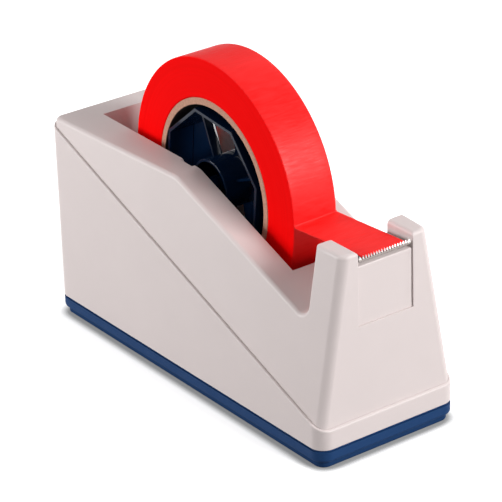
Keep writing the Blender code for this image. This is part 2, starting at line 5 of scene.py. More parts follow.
import bmesh
import bpy
from mathutils import Matrix, Vector, noise


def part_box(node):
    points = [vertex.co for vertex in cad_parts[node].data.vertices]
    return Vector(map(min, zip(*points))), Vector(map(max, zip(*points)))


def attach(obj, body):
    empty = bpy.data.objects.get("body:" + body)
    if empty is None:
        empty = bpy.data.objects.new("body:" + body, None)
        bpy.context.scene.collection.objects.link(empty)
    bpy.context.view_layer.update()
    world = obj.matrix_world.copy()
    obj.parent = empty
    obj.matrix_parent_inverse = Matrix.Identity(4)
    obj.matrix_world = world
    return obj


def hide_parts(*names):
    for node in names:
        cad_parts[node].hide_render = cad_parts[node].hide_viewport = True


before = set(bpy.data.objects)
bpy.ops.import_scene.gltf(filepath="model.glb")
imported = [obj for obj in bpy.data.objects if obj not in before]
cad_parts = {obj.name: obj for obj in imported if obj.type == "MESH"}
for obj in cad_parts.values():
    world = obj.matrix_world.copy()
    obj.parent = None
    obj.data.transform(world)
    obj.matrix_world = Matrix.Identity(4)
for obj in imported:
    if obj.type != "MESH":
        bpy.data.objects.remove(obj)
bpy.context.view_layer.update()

# Boxes of the CAD nodes
HOUSING_LOW, HOUSING_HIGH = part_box("housing")
TRAY_LOW, TRAY_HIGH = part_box("base_tray")
PAD_LOW, PAD_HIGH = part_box("anti_slip_pad")
BLOCK_LOW, BLOCK_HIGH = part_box("cutter_block")
BLADE_LOW, BLADE_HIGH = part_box("cutter_blade")
ROLL_LOW, ROLL_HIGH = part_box("tape_roll")
CORE_LOW, CORE_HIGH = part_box("tape_core")
HUB_LOW, HUB_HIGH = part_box("hub_half_right")

# Lengths are in metres, and angles in radians unless the name says degrees
GAP = 0.0003
WALL = 0.0024
BODY_HALF = HOUSING_HIGH.x
BODY_HALF_Y = HOUSING_HIGH.y
CORNER_RADIUS = 0.007

# Housing: its outline from the side, the horns, the step and the roundings
RIM_REAR = HOUSING_HIGH.z
BEND = Vector((-0.0106, 0.1019))
BEND_RADIUS = 0.012
VALLEY = Vector((0.0853, 0.0654))
VALLEY_RADIUS = 0.0045
HORN_TOP = 0.1004
HORN_OUTER_HALF = 0.0243
HORN_GAP_HALF = 0.0153
HORN_GAP_REAR = VALLEY.x - 0.0008
HORN_GAP_FLOOR = 0.0643
STEP_REAR_Z = 0.1010
STEP_FRONT_Z = 0.0192
STEP_INSET = 0.0015
STEP_BEVEL = 0.0007
EDGE_RADIUS = 0.0018
POCKET_BEVEL = 0.00025

# Housing: pocket of the roll, grooves of the axle, and the hollow inside
POCKET_REAR = -0.0900
POCKET_FRONT = 0.0582
POCKET_HALF = 0.01715
POCKET_FLOOR = 0.0285
POCKET_SIDE_WALL = 0.0032
POCKET_ROOF_END = 0.074
SHELF_START = 0.080
ROOF_THICKNESS = 0.0027
GROOVE_DEPTH = 0.0015
GROOVE_LENGTH = 0.030
GROOVE_RISE = math.radians(37.8)

# Screws: (x, y) of each, and the sizes of their holes, posts and cups
HOUSING_SCREWS = [(x, y) for x in (-0.0975, 0.0930) for y in (-0.0265, 0.0265)]
BALLAST_SCREWS = [(x, y) for x in (-0.040, 0.040) for y in (-0.018, 0.018)]
BLOCK_SCREWS = [(0.0925, y) for y in (-0.0095, 0.0095)]
SCREW_HOLE = 0.0019
HEAD_HOLE = 0.0034
HEAD_RECESS = 0.0031
POST_RADIUS = 0.0042
CUP_RADIUS = 0.0054
CUP_BELOW_RIM = 0.0011
BLOCK_POST_RADIUS = 0.0036
PILOT_TOP = 0.0245
BLOCK_PILOT_TOP = 0.0775

# Tray and pad
TRAY_FLOOR = 0.0022
TRAY_EDGE_RADIUS = 0.0016
REBATE_INSET = 0.0009
REBATE_HEIGHT = 0.0016
PAD_CORNER_RADIUS = CORNER_RADIUS - 0.002
PAD_LOWER_BEVEL = 0.0007
PAD_UPPER_BEVEL = 0.0003

# Cutter block and blade
LEDGE_FRONT_Z = 0.0930
LEDGE_REAR_Z = 0.0936
LEDGE_DEPTH = 0.0042
BLOCK_WALL = 0.0022
BLOCK_CEILING = 0.0905
BLOCK_BEVEL = 0.0003
BLADE_THICKNESS = 0.0007
BLADE_BEND_RADIUS = 0.0009
BLADE_BEVEL = 0.00006
SMALL_TEETH = 17
END_TOOTH_WIDTH = 0.0019

# Reel: roll, core, hub and axle
AXLE = Vector(((ROLL_LOW.x + ROLL_HIGH.x) / 2, 0, (ROLL_LOW.z + ROLL_HIGH.z) / 2))
AXLE_RADIUS = 0.0025
TAPE_RADIUS = (ROLL_HIGH.x - ROLL_LOW.x) / 2
TAPE_HALF = ROLL_HIGH.y
ROLL_SHOULDER = 0.0006
CORE_OUTER = (CORE_HIGH.x - CORE_LOW.x) / 2
CORE_INNER = 0.0382
CORE_SOFT_EDGE = 0.00035
HUB_HALF = 0.0135
HUB_VERTEX_RADIUS = 0.0370
HUB_VERTEX_DEGREES = 16.75
HUB_WALL = 0.0016
HUB_RIM_BEVEL = 0.00025
HUB_BEVEL = 0.00015
BOSS_RADIUS = 0.0129
BOSS_WALL = 0.0012
BOSS_HALF = HUB_HIGH.y
SLEEVE_RADIUS = 0.0042
SLEEVE_HALF = 0.0105
WEB_THICKNESS = 0.0020
SPOKE_TURN_DEGREES = 5.75
SPOKE_HALF = 0.0006
SPOKE_EDGE_HALF = 0.00015
SPOKE_IN = 0.0028
SPOKE_SHOULDER = 0.0040
SPOKE_OUT = 0.0081
SPOKE_REACH = 0.0348

# Apart from fine roundings, this model differs from the CAD in its upper corners, the shadow line
# in the step, the teeth and the cutter block, which is larger by the last two
UPPER_CORNER_RADIUS = 0.0042
SLOT_WIDTH = 0.0002
SLOT_DEPTH = 0.0003
BLADE_TOOTH = 0.0017
BLOCK_FIT_LOW = Vector((0, 0.0002, 0.00025))
BLOCK_FIT_HIGH = Vector((0.0005, 0.0002, 0))

# Tape leader, thinner than in the CAD: from the peel bend on the roll to the blade
LEADER_THICKNESS = 0.00014
LEADER_WIDTH = 0.995
LEADER_ROWS = 90
LEADER_COLUMNS = 28
LEADER_END = Vector((BLADE_HIGH.x - 0.0008, BLADE_HIGH.z - 0.00085))
LEADER_DIP = 0.0006
LEADER_DIP_LENGTH = 0.0030
LEADER_RIPPLE = 0.00022
LEADER_ZIGZAG = 0.0004
PEEL_BEND_NEAR = 0.0016
PEEL_BEND_LESS = 0.0010
PEEL_DEPTH = 0.00015
PEEL_ANGLE = math.radians(1.6)

# Reach of the tools that cut the body, past its outside
OVERSHOOT = 0.010
ABOVE = RIM_REAR + 0.015
FAR = 4 * BODY_HALF
WIDE = 8 * BODY_HALF_Y

# The step is a sloping plane; above it the sides of the housing lean inwards
UPPER_HALF_X = BODY_HALF - STEP_INSET
UPPER_HALF_Y = BODY_HALF_Y - STEP_INSET
STEP_POINT = Vector((-BODY_HALF, 0, STEP_REAR_Z))
STEP_ALONG = Vector((2 * BODY_HALF, 0, STEP_FRONT_Z - STEP_REAR_Z)).normalized()
STEP_NORMAL = Vector((-STEP_ALONG.z, 0, STEP_ALONG.x))
HORN_MIDDLE = Vector(((VALLEY.x + UPPER_HALF_X) / 2, 0, HORN_TOP))
SIDE_LEAN = (UPPER_HALF_Y - HORN_OUTER_HALF) / (HORN_MIDDLE - STEP_POINT).dot(STEP_NORMAL)

# Colours, linear
BEIGE = (0.684, 0.603, 0.592)
NAVY = (0.015, 0.050, 0.145)
RUBBER = (0.013, 0.042, 0.120)
HUB_BLUE = (0.0016, 0.0080, 0.026)
TREAD_LIGHT, TREAD_DARK = (1.0, 0.014, 0.014), (0.95, 0.003, 0.003)
SIDE_LIGHT, SIDE_DARK = (1.0, 0.0014, 0.0022), (0.93, 0.0002, 0.0004)
STRIP_LIGHT, STRIP_DARK = (0.98, 0.022, 0.020), (0.92, 0.008, 0.007)
# The second card colour is painted shade for the inside of the core's bore
CARD, CARD_BORE_PAINTED_SHADE = (0.56, 0.310, 0.222), (0.030, 0.022, 0.022)
# The satin steel colour is partly painted shade: darker and browner than the blade's steel, for
# its shaded face below the teeth
BRIGHT_STEEL, SATIN_STEEL_AND_SHADE = (0.88, 0.87, 0.86), (0.33, 0.29, 0.27)
ZINC = (0.62, 0.62, 0.64)
CAST_IRON = (0.10, 0.10, 0.105)

# Camera, a long lens from the front left and above
CAMERA_AZIMUTH = math.radians(54.04)
CAMERA_ELEVATION = math.radians(25.79)
CAMERA_ROLL = math.radians(-1.85)
CAMERA_DISTANCE = 1.3757
CAMERA_SHIFT_RIGHT = 0.00503
CAMERA_SHIFT_UP = 0.04977
CAMERA_LENS_MM = 206.7

# Light: the sky's strength low down and high up, and (name, place, aim, size, power) of the panels
SKY_LOW = 0.14
SKY_HIGH = 0.41
FLOOR_GLOW = 0.50
FLOOR_SIZE = 40
CONTACT_SHADOW = 0.006
BODY_MIDDLE = (0, 0, 0.06)
PANELS = [
    ("front_window", (1.55, 0.60, 0.86), BODY_MIDDLE, (0.8, 0.6), 31),
    ("low_card", (0.42, 1.34, 0.15), tuple(AXLE), (0.24, 0.18), 2.2),
    ("side_softbox", (-0.53, -0.80, 0.30), BODY_MIDDLE, (0.45, 0.45), 7.2),
    ("back_panel", (-0.45, 1.35, 0.75), BODY_MIDDLE, (1.2, 0.5), 5.0),
]


# ---------------------------------------------------------------- shapes

def object_from(name, bm):
    """New object in the scene from a bmesh, which is freed."""
    mesh = bpy.data.meshes.new(name)
    bm.to_mesh(mesh)
    bm.free()
    made = bpy.data.objects.new(name, mesh)
    bpy.context.scene.collection.objects.link(made)
    return made


def turned(vector, angle):
    """A flat vector turned anticlockwise by an angle."""
    return Vector((vector.x * math.cos(angle) - vector.y * math.sin(angle),
                   vector.x * math.sin(angle) + vector.y * math.cos(angle)))


def rounded(corners, steps=8):
    """Points of a closed outline whose corners are (a, b, radius)."""
    points = []
    count = len(corners)
    for index, (a, b, radius) in enumerate(corners):
        here = Vector((a, b))
        if radius == 0:
            points.append(here)
            continue
        back = (Vector(corners[index - 1][:2]) - here).normalized()
        ahead = (Vector(corners[(index + 1) % count][:2]) - here).normalized()
        half = back.angle(ahead) / 2
        centre = here + (back + ahead).normalized() * radius / math.sin(half)
        start = here + back * radius / math.tan(half) - centre
        end = here + ahead * radius / math.tan(half) - centre
        turn = start.angle_signed(end)
        for step in range(steps + 1):
            points.append(centre + turned(start, -turn * step / steps))
    return points


def rectangle(half_x, half_y, radius=0.0):
    """Corners (a, b, radius) of a rectangle about the origin."""
    return [(-half_x, -half_y, radius), (half_x, -half_y, radius),
            (half_x, half_y, radius), (-half_x, half_y, radius)]


def plate(name, outlines, thickness, place=(0, 0, 0), upright=None):
    """Solid plate from flat outlines, lying in XY or upright in XZ or YZ."""
    curve = bpy.data.curves.new(name, "CURVE")
    curve.dimensions = "2D"
    curve.fill_mode = "BOTH"
    curve.extrude = thickness / 2
    for points in outlines:
        spline = curve.splines.new("POLY")
        spline.points.add(len(points) - 1)
        for target, point in zip(spline.points, points):
            target.co = (point[0], point[1], 0, 1)
        spline.use_cyclic_u = True
    guide = bpy.data.objects.new(name + "_outline", curve)
    bpy.context.scene.collection.objects.link(guide)
    guide.location = place
    if upright == "XZ":
        guide.rotation_euler = (math.pi / 2, 0, 0)
    if upright == "YZ":
        guide.rotation_euler = (math.pi / 2, 0, math.pi / 2)
    bpy.context.view_layer.update()
    evaluated = guide.evaluated_get(bpy.context.evaluated_depsgraph_get())
    mesh = bpy.data.meshes.new_from_object(evaluated)
    mesh.transform(guide.matrix_world)
    bpy.data.objects.remove(guide, do_unlink=True)
    bm = bmesh.new()
    bm.from_mesh(mesh)
    bpy.data.meshes.remove(mesh)
    bmesh.ops.remove_doubles(bm, verts=bm.verts, dist=1e-6)
    bmesh.ops.recalc_face_normals(bm, faces=bm.faces)
    return object_from(name, bm)


def slab(name, outline, low, high):
    """Solid with a flat outline in XY, from one height to another."""
    return plate(name, [outline], high - low, (0, 0, (low + high) / 2))


def box(name, low, high):
    """Block between two opposite corners."""
    bm = bmesh.new()
    bmesh.ops.create_cube(bm, size=1.0)
    for vert in bm.verts:
        vert.co = Vector([(lo + hi) / 2 + c * (hi - lo) for lo, hi, c in zip(low, high, vert.co)])
    return object_from(name, bm)


def cylinders(name, radius, low, high, places):
    """Upright cylinders at several (x, y), as one object."""
    bm = bmesh.new()
    for x, y in places:
        made = bmesh.ops.create_cone(bm, cap_ends=True, segments=32,
                                     radius1=radius, radius2=radius, depth=high - low)
        bmesh.ops.translate(bm, verts=made["verts"], vec=(x, y, (low + high) / 2))
    return object_from(name, bm)


def baked(made):
    """Replace an object by its evaluated mesh, under the same name."""
    bpy.context.view_layer.update()
    evaluated = made.evaluated_get(bpy.context.evaluated_depsgraph_get())
    mesh = bpy.data.meshes.new_from_object(evaluated)
    mesh.transform(made.matrix_world)
    name = made.name
    bpy.data.objects.remove(made, do_unlink=True)
    fresh = bpy.data.objects.new(name, mesh)
    bpy.context.scene.collection.objects.link(fresh)
    return fresh


def combine(target, steps):
    """Apply Boolean steps, each (operation, tool), and remove the tools."""
    for operation, tool in steps:
        step = target.modifiers.new(operation, "BOOLEAN")
        step.operation = operation
        step.object = tool
        step.solver = "EXACT"
    target = baked(target)
    for _, tool in steps:
        bpy.data.objects.remove(tool, do_unlink=True)
    return target


def with_mesh(made, edit):
    """Run an edit on the object's mesh as a bmesh."""
    bm = bmesh.new()
    bm.from_mesh(made.data)
    edit(bm)
    bm.to_mesh(made.data)
    bm.free()
    return made


def merge_flat(bm):
    """Join the faces that lie in one plane."""
    bmesh.ops.remove_doubles(bm, verts=bm.verts, dist=2e-6)
    bmesh.ops.dissolve_limit(bm, angle_limit=math.radians(0.3), verts=bm.verts, edges=bm.edges)


def bevel_edges(made, chosen, width, segments):
    """Round the edges that the chosen test picks, with a weighted Bevel."""
    def mark(bm):
        merge_flat(bm)
        weight = bm.edges.layers.float.get("bevel_weight_edge")
        if weight is None:
            weight = bm.edges.layers.float.new("bevel_weight_edge")
        for edge in bm.edges:
            edge[weight] = 1.0 if len(edge.link_faces) == 2 and chosen(edge) else 0.0
    with_mesh(made, mark)
    step = made.modifiers.new("round", "BEVEL")
    step.width = width
    step.segments = segments
    step.limit_method = "WEIGHT"
    step.use_clamp_overlap = False
    step.miter_outer = "MITER_ARC"
    made = baked(made)

    def unmark(bm):
        weight = bm.edges.layers.float.get("bevel_weight_edge")
        if weight is not None:
            bm.edges.layers.float.remove(weight)
    return with_mesh(made, unmark)


def middle(edge):
    """Middle point of an edge."""
    return (edge.verts[0].co + edge.verts[1].co) / 2


def is_sharp(edge, degrees):
    return len(edge.link_faces) == 2 and edge.calc_face_angle(0) > math.radians(degrees)


def shade(made, degrees=32):
    """Smooth shading that keeps the large flat faces flat."""
    made.data.shade_smooth()
    made.data.set_sharp_from_angle(angle=math.radians(degrees))
    step = made.modifiers.new("flat_faces", "WEIGHTED_NORMAL")
    step.keep_sharp = True
    step.weight = 60
    return made


# ---------------------------------------------------------------- housing

def height_over_step(point):
    """Distance above the plane of the step, at right angles to it."""
    return (point - STEP_POINT).dot(STEP_NORMAL)


def lean_inwards(bm):
    """Lean the sides of an upright block towards Y = 0 above the step plane."""
    everything = bm.verts[:] + bm.edges[:] + bm.faces[:]
    bmesh.ops.bisect_plane(bm, geom=everything, plane_co=STEP_POINT, plane_no=STEP_NORMAL)
    for vert in bm.verts:
        above = height_over_step(vert.co)
        if above > 1e-6:
            vert.co.y -= math.copysign(SIDE_LEAN * above, vert.co.y)
    bmesh.ops.triangulate(bm, faces=bm.faces)


def slope_z(x, drop=0.0):
    """Height of the slope in front of the bend, or of a line that far below it."""
    return BEND.y + (VALLEY.y - BEND.y) * (x - BEND.x) / (VALLEY.x - BEND.x) - drop


def space_above_housing():
    """Everything above the rear rim, the slope, the V and the horn tops."""
    rise = (RIM_REAR - BEND.y) / (BODY_HALF + BEND.x)
    outline = [
        (BEND.x, BEND.y, BEND_RADIUS), (VALLEY.x, VALLEY.y, VALLEY_RADIUS),
        (VALLEY.x, HORN_TOP, 0), (FAR, HORN_TOP, 0), (FAR, FAR, 0), (-FAR, FAR, 0),
        (-FAR, RIM_REAR + rise * (FAR - BODY_HALF), 0),
    ]
    return plate("space_above", [rounded(outline, 10)], WIDE, upright="XZ")


def is_side(face, point):
    """True for the faces at the sides, the front and the rear of the upper part."""
    if abs(face.normal.y) > 0.12:
        return True
    return abs(face.normal.x) > 0.9 and abs(point.x) > UPPER_HALF_X - 0.002


def is_top_edge(edge):
    """True for an outer edge between the top and the sides, but not for the horn gap's edges."""
    point = middle(edge)
    if height_over_step(point) < 0.001 or not edge.is_convex:
        return False
    if abs(point.y) < HORN_GAP_HALF + 1e-5 and point.z < HORN_TOP - 1e-5 and point.x > 0:
        return False
    sides = [is_side(face, point) for face in edge.link_faces]
    return sides[0] != sides[1]


def keep_one_side(bm, depth, below):
    """Cut by a plane that far under the step, keep what's below or above it, and close it."""
    everything = bm.verts[:] + bm.edges[:] + bm.faces[:]
    bmesh.ops.bisect_plane(bm, geom=everything, plane_co=STEP_POINT - STEP_NORMAL * depth,
                           plane_no=STEP_NORMAL, clear_outer=below, clear_inner=not below)
    bmesh.ops.holes_fill(bm, edges=[edge for edge in bm.edges if edge.is_boundary])
    bmesh.ops.recalc_face_normals(bm, faces=bm.faces)


def shadow_line():
    """Fine slot in the step, all round the upper part of the housing."""
    half_x, half_y = UPPER_HALF_X + SLOT_WIDTH, UPPER_HALF_Y + SLOT_WIDTH
    outline = rounded(rectangle(half_x, half_y, UPPER_CORNER_RADIUS + SLOT_WIDTH), 12)
    made = slab("shadow_line", outline, HOUSING_LOW.z, RIM_REAR + OVERSHOOT)
    return with_mesh(made, lambda bm: keep_one_side(bm, SLOT_DEPTH, below=False))


def on_step(edge):
    """True if the whole edge lies in the plane of the step."""
    return all(abs(height_over_step(vert.co)) < 2e-6 for vert in edge.verts)


def cavity():
    """Hollow inside the housing, around the pocket and the screw posts."""
    outline = rounded(rectangle(UPPER_HALF_X - WALL, UPPER_HALF_Y - WALL,
                                UPPER_CORNER_RADIUS - WALL), 4)
    hollow = with_mesh(slab("cavity", outline, TRAY_LOW.z, RIM_REAR + OVERSHOOT), lean_inwards)
    drop = ROOF_THICKNESS
    shelf = HORN_GAP_FLOOR - ROOF_THICKNESS
    roof = [(-FAR, RIM_REAR - drop, 0), (BEND.x, BEND.y - drop, 0),
            (POCKET_ROOF_END, slope_z(POCKET_ROOF_END, drop), 0), (SHELF_START, shelf, 0),
            (FAR, shelf, 0), (FAR, FAR, 0), (-FAR, FAR, 0)]
    side = POCKET_HALF + POCKET_SIDE_WALL
    return combine(hollow, [
        ("DIFFERENCE", plate("roof", [rounded(roof)], WIDE, upright="XZ")),
        ("DIFFERENCE", box("tub", (POCKET_REAR - WALL, -side, POCKET_FLOOR - WALL),
                           (POCKET_FRONT + WALL, side, ABOVE))),
        ("DIFFERENCE", cylinders("posts", POST_RADIUS, TRAY_HIGH.z - 0.0002, ABOVE,
                                 HOUSING_SCREWS)),
    ])


def groove():
    """Slanted slot for the two ends of the axle pin, open at the rim."""
    radius = AXLE_RADIUS + GAP
    away = Vector((-math.cos(GROOVE_RISE), math.sin(GROOVE_RISE)))
    across = Vector((-away.y, away.x)) * radius
    seat = Vector((AXLE.x, AXLE.z))
    turn = [math.pi * step / 12 for step in range(13)]
    points = [seat + across * math.cos(angle) - away * radius * math.sin(angle) for angle in turn]
    points += [seat - across + away * GROOVE_LENGTH, seat + across + away * GROOVE_LENGTH]
    return plate("groove", [points], 2 * (POCKET_HALF + GROOVE_DEPTH), upright="XZ")


def on_lower_outline(point):
    """True near the outer outline of the housing's lower face, seen from below."""
    x, y = abs(point.x), abs(point.y)
    if y > BODY_HALF_Y - 0.0005 or x > BODY_HALF - 0.0005:
        return True
    reach = math.hypot(x - BODY_HALF + CORNER_RADIUS, y - BODY_HALF_Y + CORNER_RADIUS)
    return reach > CORNER_RADIUS - 0.0006 and x > BODY_HALF - CORNER_RADIUS


def is_pocket_edge(edge):
    """Sharp outer edge of the pocket, the grooves or the horn gap, or the lower edge."""
    point = middle(edge)
    if not is_sharp(edge, 40) or not edge.is_convex or edge.calc_length() < 0.0004:
        return False
    if point.z < HOUSING_LOW.z + 0.0005:
        return on_lower_outline(point)
    in_pocket = abs(point.y) < POCKET_HALF + GROOVE_DEPTH + 0.0001 and point.z > 0.060
    near_rim = point.z > slope_z(min(point.x, VALLEY.x)) - 0.012
    return in_pocket and near_rim and any(
        face.normal.z > 0.2 or face.normal.x > 0.9 for face in edge.link_faces)


def housing():
    """Moulded housing with its fine roundings."""
    outline = rounded(rectangle(UPPER_HALF_X, UPPER_HALF_Y, UPPER_CORNER_RADIUS), 12)
    upper = slab("dispenser_housing", outline, HOUSING_LOW.z + 0.003, RIM_REAR + OVERSHOOT)
    with_mesh(upper, lean_inwards)
    upper = combine(upper, [
        ("DIFFERENCE", space_above_housing()),
        ("DIFFERENCE", box("gap", (HORN_GAP_REAR, -HORN_GAP_HALF, HORN_GAP_FLOOR),
                           (FAR, HORN_GAP_HALF, ABOVE))),
    ])
    upper = bevel_edges(upper, is_top_edge, EDGE_RADIUS, 6)

    wedge = slab("flange", rounded(rectangle(BODY_HALF, BODY_HALF_Y, CORNER_RADIUS), 12),
                 HOUSING_LOW.z, RIM_REAR + OVERSHOOT)
    with_mesh(wedge, lambda bm: keep_one_side(bm, 0, below=True))
    wedge = bevel_edges(wedge, on_step, STEP_BEVEL, 3)
    wedge = combine(wedge, [("DIFFERENCE", shadow_line())])
    made = combine(upper, [
        ("UNION", wedge),
        ("DIFFERENCE", cavity()),
        ("DIFFERENCE", box("pocket", (POCKET_REAR, -POCKET_HALF, POCKET_FLOOR),
                           (POCKET_FRONT, POCKET_HALF, ABOVE))),
        ("DIFFERENCE", groove()),
        ("DIFFERENCE", cylinders("pilots", SCREW_HOLE, 0.001, PILOT_TOP, HOUSING_SCREWS)),
        ("DIFFERENCE", cylinders("block_holes", SCREW_HOLE, HORN_GAP_FLOOR - 0.006,
                                 HORN_GAP_FLOOR + 0.002, BLOCK_SCREWS)),
    ])
    made = bevel_edges(made, is_pocket_edge, POCKET_BEVEL, 2)
    return shade(made)


# ---------------------------------------------------------------- materials

def new_material(name, colour, roughness, metallic=0.0, specular=0.5):
    """Material with a Principled shader; returns it with its node tree and the shader."""
    made = bpy.data.materials.new(name)
    made.use_nodes = True
    tree = made.node_tree
    shader = tree.nodes["Principled BSDF"]
    shader.inputs["Base Color"].default_value = (*colour, 1.0)
    shader.inputs["Roughness"].default_value = roughness
    shader.inputs["Metallic"].default_value = metallic
    shader.inputs["Specular IOR Level"].default_value = specular
    return made, tree, shader


def add(tree, kind, values=None, links=None, **settings):
    """Add a node; values sets its inputs, and links joins (input, output socket)."""
    node = tree.nodes.new(kind)
    for key, value in settings.items():
        setattr(node, key, value)
    for key, value in (values or {}).items():
        node.inputs[key].default_value = value
    for key, socket in (links or {}).items():
        tree.links.new(socket, node.inputs[key])
    return node


def place_in(tree, stretch=(1, 1, 1), centre=(0, 0, 0)):
    """Object coordinates about a centre, stretched."""
    where = add(tree, "ShaderNodeTexCoord").outputs["Object"]
    moved = add(tree, "ShaderNodeVectorMath", {1: tuple(centre)}, {0: where},
                operation="SUBTRACT")
    scaled = add(tree, "ShaderNodeVectorMath", {1: stretch}, {0: moved.outputs[0]},
                 operation="MULTIPLY")
    return scaled.outputs[0]


def across_axle(tree):
    """Sockets: the place in a plane across the axle, the radius, and the radius as a vector."""
    flat = place_in(tree, (1, 0, 1), AXLE)
    length = add(tree, "ShaderNodeVectorMath", links={0: flat}, operation="LENGTH")
    radius = length.outputs["Value"]
    along = add(tree, "ShaderNodeCombineXYZ", links={"X": radius})
    return flat, radius, along.outputs[0]


def noise_node(tree, vector, scale, detail=2.0, roughness=0.5):
    """Value socket of a noise texture."""
    return add(tree, "ShaderNodeTexNoise",
               {"Scale": scale, "Detail": detail, "Roughness": roughness},
               {"Vector": vector}).outputs["Fac"]


def ranged(tree, value, low, high, from_low=0.3, from_high=0.7):
    """Map a value, from the middle range of a noise by default, to low..high."""
    return add(tree, "ShaderNodeMapRange",
               {"From Min": from_low, "From Max": from_high, "To Min": low, "To Max": high},
               {"Value": value}).outputs["Result"]


def mixed(tree, factor, first, second):
    """Colour between two colours by a factor socket."""
    node = add(tree, "ShaderNodeMix", data_type="RGBA")
    for name, value in (("A", first), ("B", second)):
        socket = next(s for s in node.inputs if s.name == name and s.type == "RGBA")
        if isinstance(value, tuple):
            socket.default_value = (*value, 1.0)
        else:
            tree.links.new(value, socket)
    tree.links.new(factor, node.inputs[0])
    return next(s for s in node.outputs if s.type == "RGBA")


def blended(tree, first, second, share):
    """A share of the first value plus the rest of the second."""
    part = add(tree, "ShaderNodeMath", {1: share}, {0: first}, operation="MULTIPLY")
    both = add(tree, "ShaderNodeMath", {1: 1 - share}, {0: second, 2: part.outputs[0]},
               operation="MULTIPLY_ADD")
    return both.outputs[0]


def bump(tree, shader, height, distance):
    """Bumps from a height socket; distance is their depth."""
    node = add(tree, "ShaderNodeBump", {"Strength": 1.0, "Distance": distance},
               {"Height": height})
    tree.links.new(node.outputs["Normal"], shader.inputs["Normal"])


def shades(colour, amount):
    """A darker and a lighter shade of a colour."""
    return tuple(c * (1 - amount) for c in colour), tuple(min(1, c * (1 + amount)) for c in colour)


def moulded(name, colour, roughness, grain=0.00003, mottle=0.012, specular=0.4):
    """Injection-moulded plastic: faint mottling, spark-eroded grain and uneven gloss."""
    made, tree, shader = new_material(name, colour, roughness, specular=specular)
    where = place_in(tree)
    dark, light = shades(colour, mottle)
    cloud = noise_node(tree, where, 38, 3)
    tree.links.new(mixed(tree, ranged(tree, cloud, 0, 1), dark, light),
                   shader.inputs["Base Color"])
    gloss = noise_node(tree, where, 210, 2)
    tree.links.new(ranged(tree, gloss, roughness - 0.035, roughness + 0.035),
                   shader.inputs["Roughness"])
    fine = noise_node(tree, where, 2600, 2, 0.6)
    bump(tree, shader, fine, grain)
    return made


def tape_material(name, colour, dark, crepe=0.00007, specular=0.24, roughness=0.60):
    """Creped paper tape: short wrinkles that run across the tape."""
    made, tree, shader = new_material(name, colour, roughness, specular=specular)
    wrinkles = noise_node(tree, place_in(tree, (1, 0.10, 1), AXLE), 1500, 3, 0.55)
    coarse = noise_node(tree, place_in(tree, (1, 0.22, 1), AXLE), 420)
    patches = noise_node(tree, place_in(tree, (1, 0.5, 1), AXLE), 60)
    height = blended(tree, wrinkles, coarse, 0.5)
    tint = mixed(tree, ranged(tree, height, 0, 1, 0.36, 0.64), dark, colour)
    softer = mixed(tree, ranged(tree, patches, 0, 0.25), tint, dark)
    tree.links.new(softer, shader.inputs["Base Color"])
    tree.links.new(ranged(tree, wrinkles, roughness - 0.10, roughness + 0.10),
                   shader.inputs["Roughness"])
    bump(tree, shader, height, crepe)
    return made


def winding_material(name, colour, dark):
    """Side of the roll: the edges of the layers as fine rings."""
    made, tree, shader = new_material(name, colour, 0.72, specular=0.03)
    flat, _, along = across_axle(tree)
    rings = noise_node(tree, along, 4200, 2, 0.7)
    bands = noise_node(tree, along, 520)
    drift = noise_node(tree, flat, 70)
    height = blended(tree, rings, bands, 0.6)
    tint = mixed(tree, ranged(tree, height, 0, 1, 0.38, 0.62), dark, colour)
    tree.links.new(mixed(tree, ranged(tree, drift, 0, 0.3), tint, dark),
                   shader.inputs["Base Color"])
    bump(tree, shader, height, 0.00010)
    return made


def card_material():
    """Grey-brown cardboard with plies on its end faces, loose fibres and a bore in painted shade.
    """
    made, tree, shader = new_material("core_card_detail", CARD, 0.88, specular=0.08)
    _, radius, along = across_axle(tree)
    plies = noise_node(tree, along, 2600, 1)
    fibres = noise_node(tree, place_in(tree, (1, 3, 1), AXLE), 900, 4, 0.7)
    dark, light = shades(CARD, 0.22)
    first = mixed(tree, ranged(tree, fibres, 0, 1), dark, light)
    worn = mixed(tree, ranged(tree, plies, 0, 0.5), first, dark)
    # Painted shade: the bore of the core is coloured near black, as if little light reached it
    bore = ranged(tree, radius, 0, 1, CORE_INNER + 0.0001, CORE_INNER + 0.0004)
    tree.links.new(mixed(tree, bore, CARD_BORE_PAINTED_SHADE, worn), shader.inputs["Base Color"])
    bump(tree, shader, fibres, 0.00006)
    return made


def metal_material(name, colour, roughness, satin_and_shade=None, ground_from=0.0):
    """Drawn steel with fine streaks; a second colour, if given, is used below the ground edge:
    satin steel darkened as painted shade.
    """
    made, tree, shader = new_material(name, colour, roughness, metallic=1.0)
    streaks = noise_node(tree, place_in(tree, (40, 1, 40)), 90, 3)
    dark, light = shades(colour, 0.10)
    tint = mixed(tree, ranged(tree, streaks, 0, 1), dark, light)
    if satin_and_shade:
        parts = add(tree, "ShaderNodeSeparateXYZ", links={"Vector": place_in(tree)})
        ground = ranged(tree, parts.outputs["Z"], 0, 1, ground_from - 0.0003, ground_from)
        # Below the ground edge: satin steel with painted shade
        tint = mixed(tree, ground, satin_and_shade, tint)
    tree.links.new(tint, shader.inputs["Base Color"])
    tree.links.new(ranged(tree, streaks, roughness - 0.06, roughness + 0.08),
                   shader.inputs["Roughness"])
    bump(tree, shader, streaks, 0.000008)
    return made


def cast_material():
    """Raw cast iron: coarse sand-cast skin."""
    made, tree, shader = new_material("cast_iron_detail", CAST_IRON, 0.62, metallic=0.7)
    skin = noise_node(tree, place_in(tree), 900, 5, 0.65)
    dark, light = shades(CAST_IRON, 0.35)
    tree.links.new(mixed(tree, ranged(tree, skin, 0, 1), dark, light),
                   shader.inputs["Base Color"])
    bump(tree, shader, skin, 0.0003)
    return made


# ---------------------------------------------------------------- pieces

